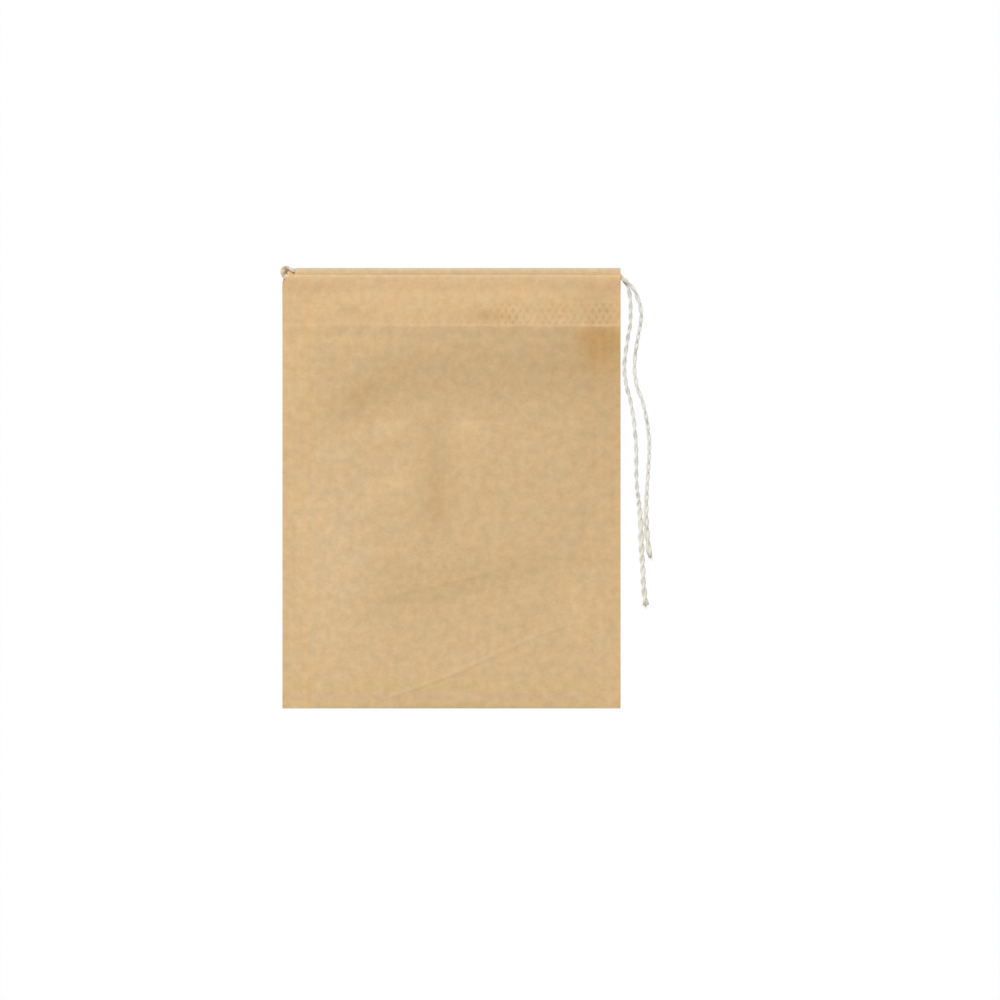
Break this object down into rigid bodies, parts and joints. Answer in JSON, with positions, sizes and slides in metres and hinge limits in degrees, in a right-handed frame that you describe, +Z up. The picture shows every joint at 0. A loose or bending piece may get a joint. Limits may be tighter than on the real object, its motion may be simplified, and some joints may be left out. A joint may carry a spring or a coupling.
{
  "type": "paper tea filter",
  "caption": "Flat rectangular filter paper bag, folded at the bottom and heat sealed down both sides, with a hem round its mouth that holds a cotton drawstring.",
  "frame": {"origin": "on the table under the middle of the bag, at the centre of the bottom face of the bag's box, without the drawstring", "axes": "+X across the bag towards the side where the drawstring's tails come out, +Y from the bottom fold to the mouth, +Z up out of the front wall"},
  "size_m": [0.077, 0.0916, 0.0027],
  "materials": {
    "filter_paper": "unbleached, matt",
    "cotton_string": "twisted undyed cotton"
  },
  "bodies": {
    "root": {"filter_bag": "filter_paper", "drawstring": "cotton_string"}
  },
  "joints": []
}
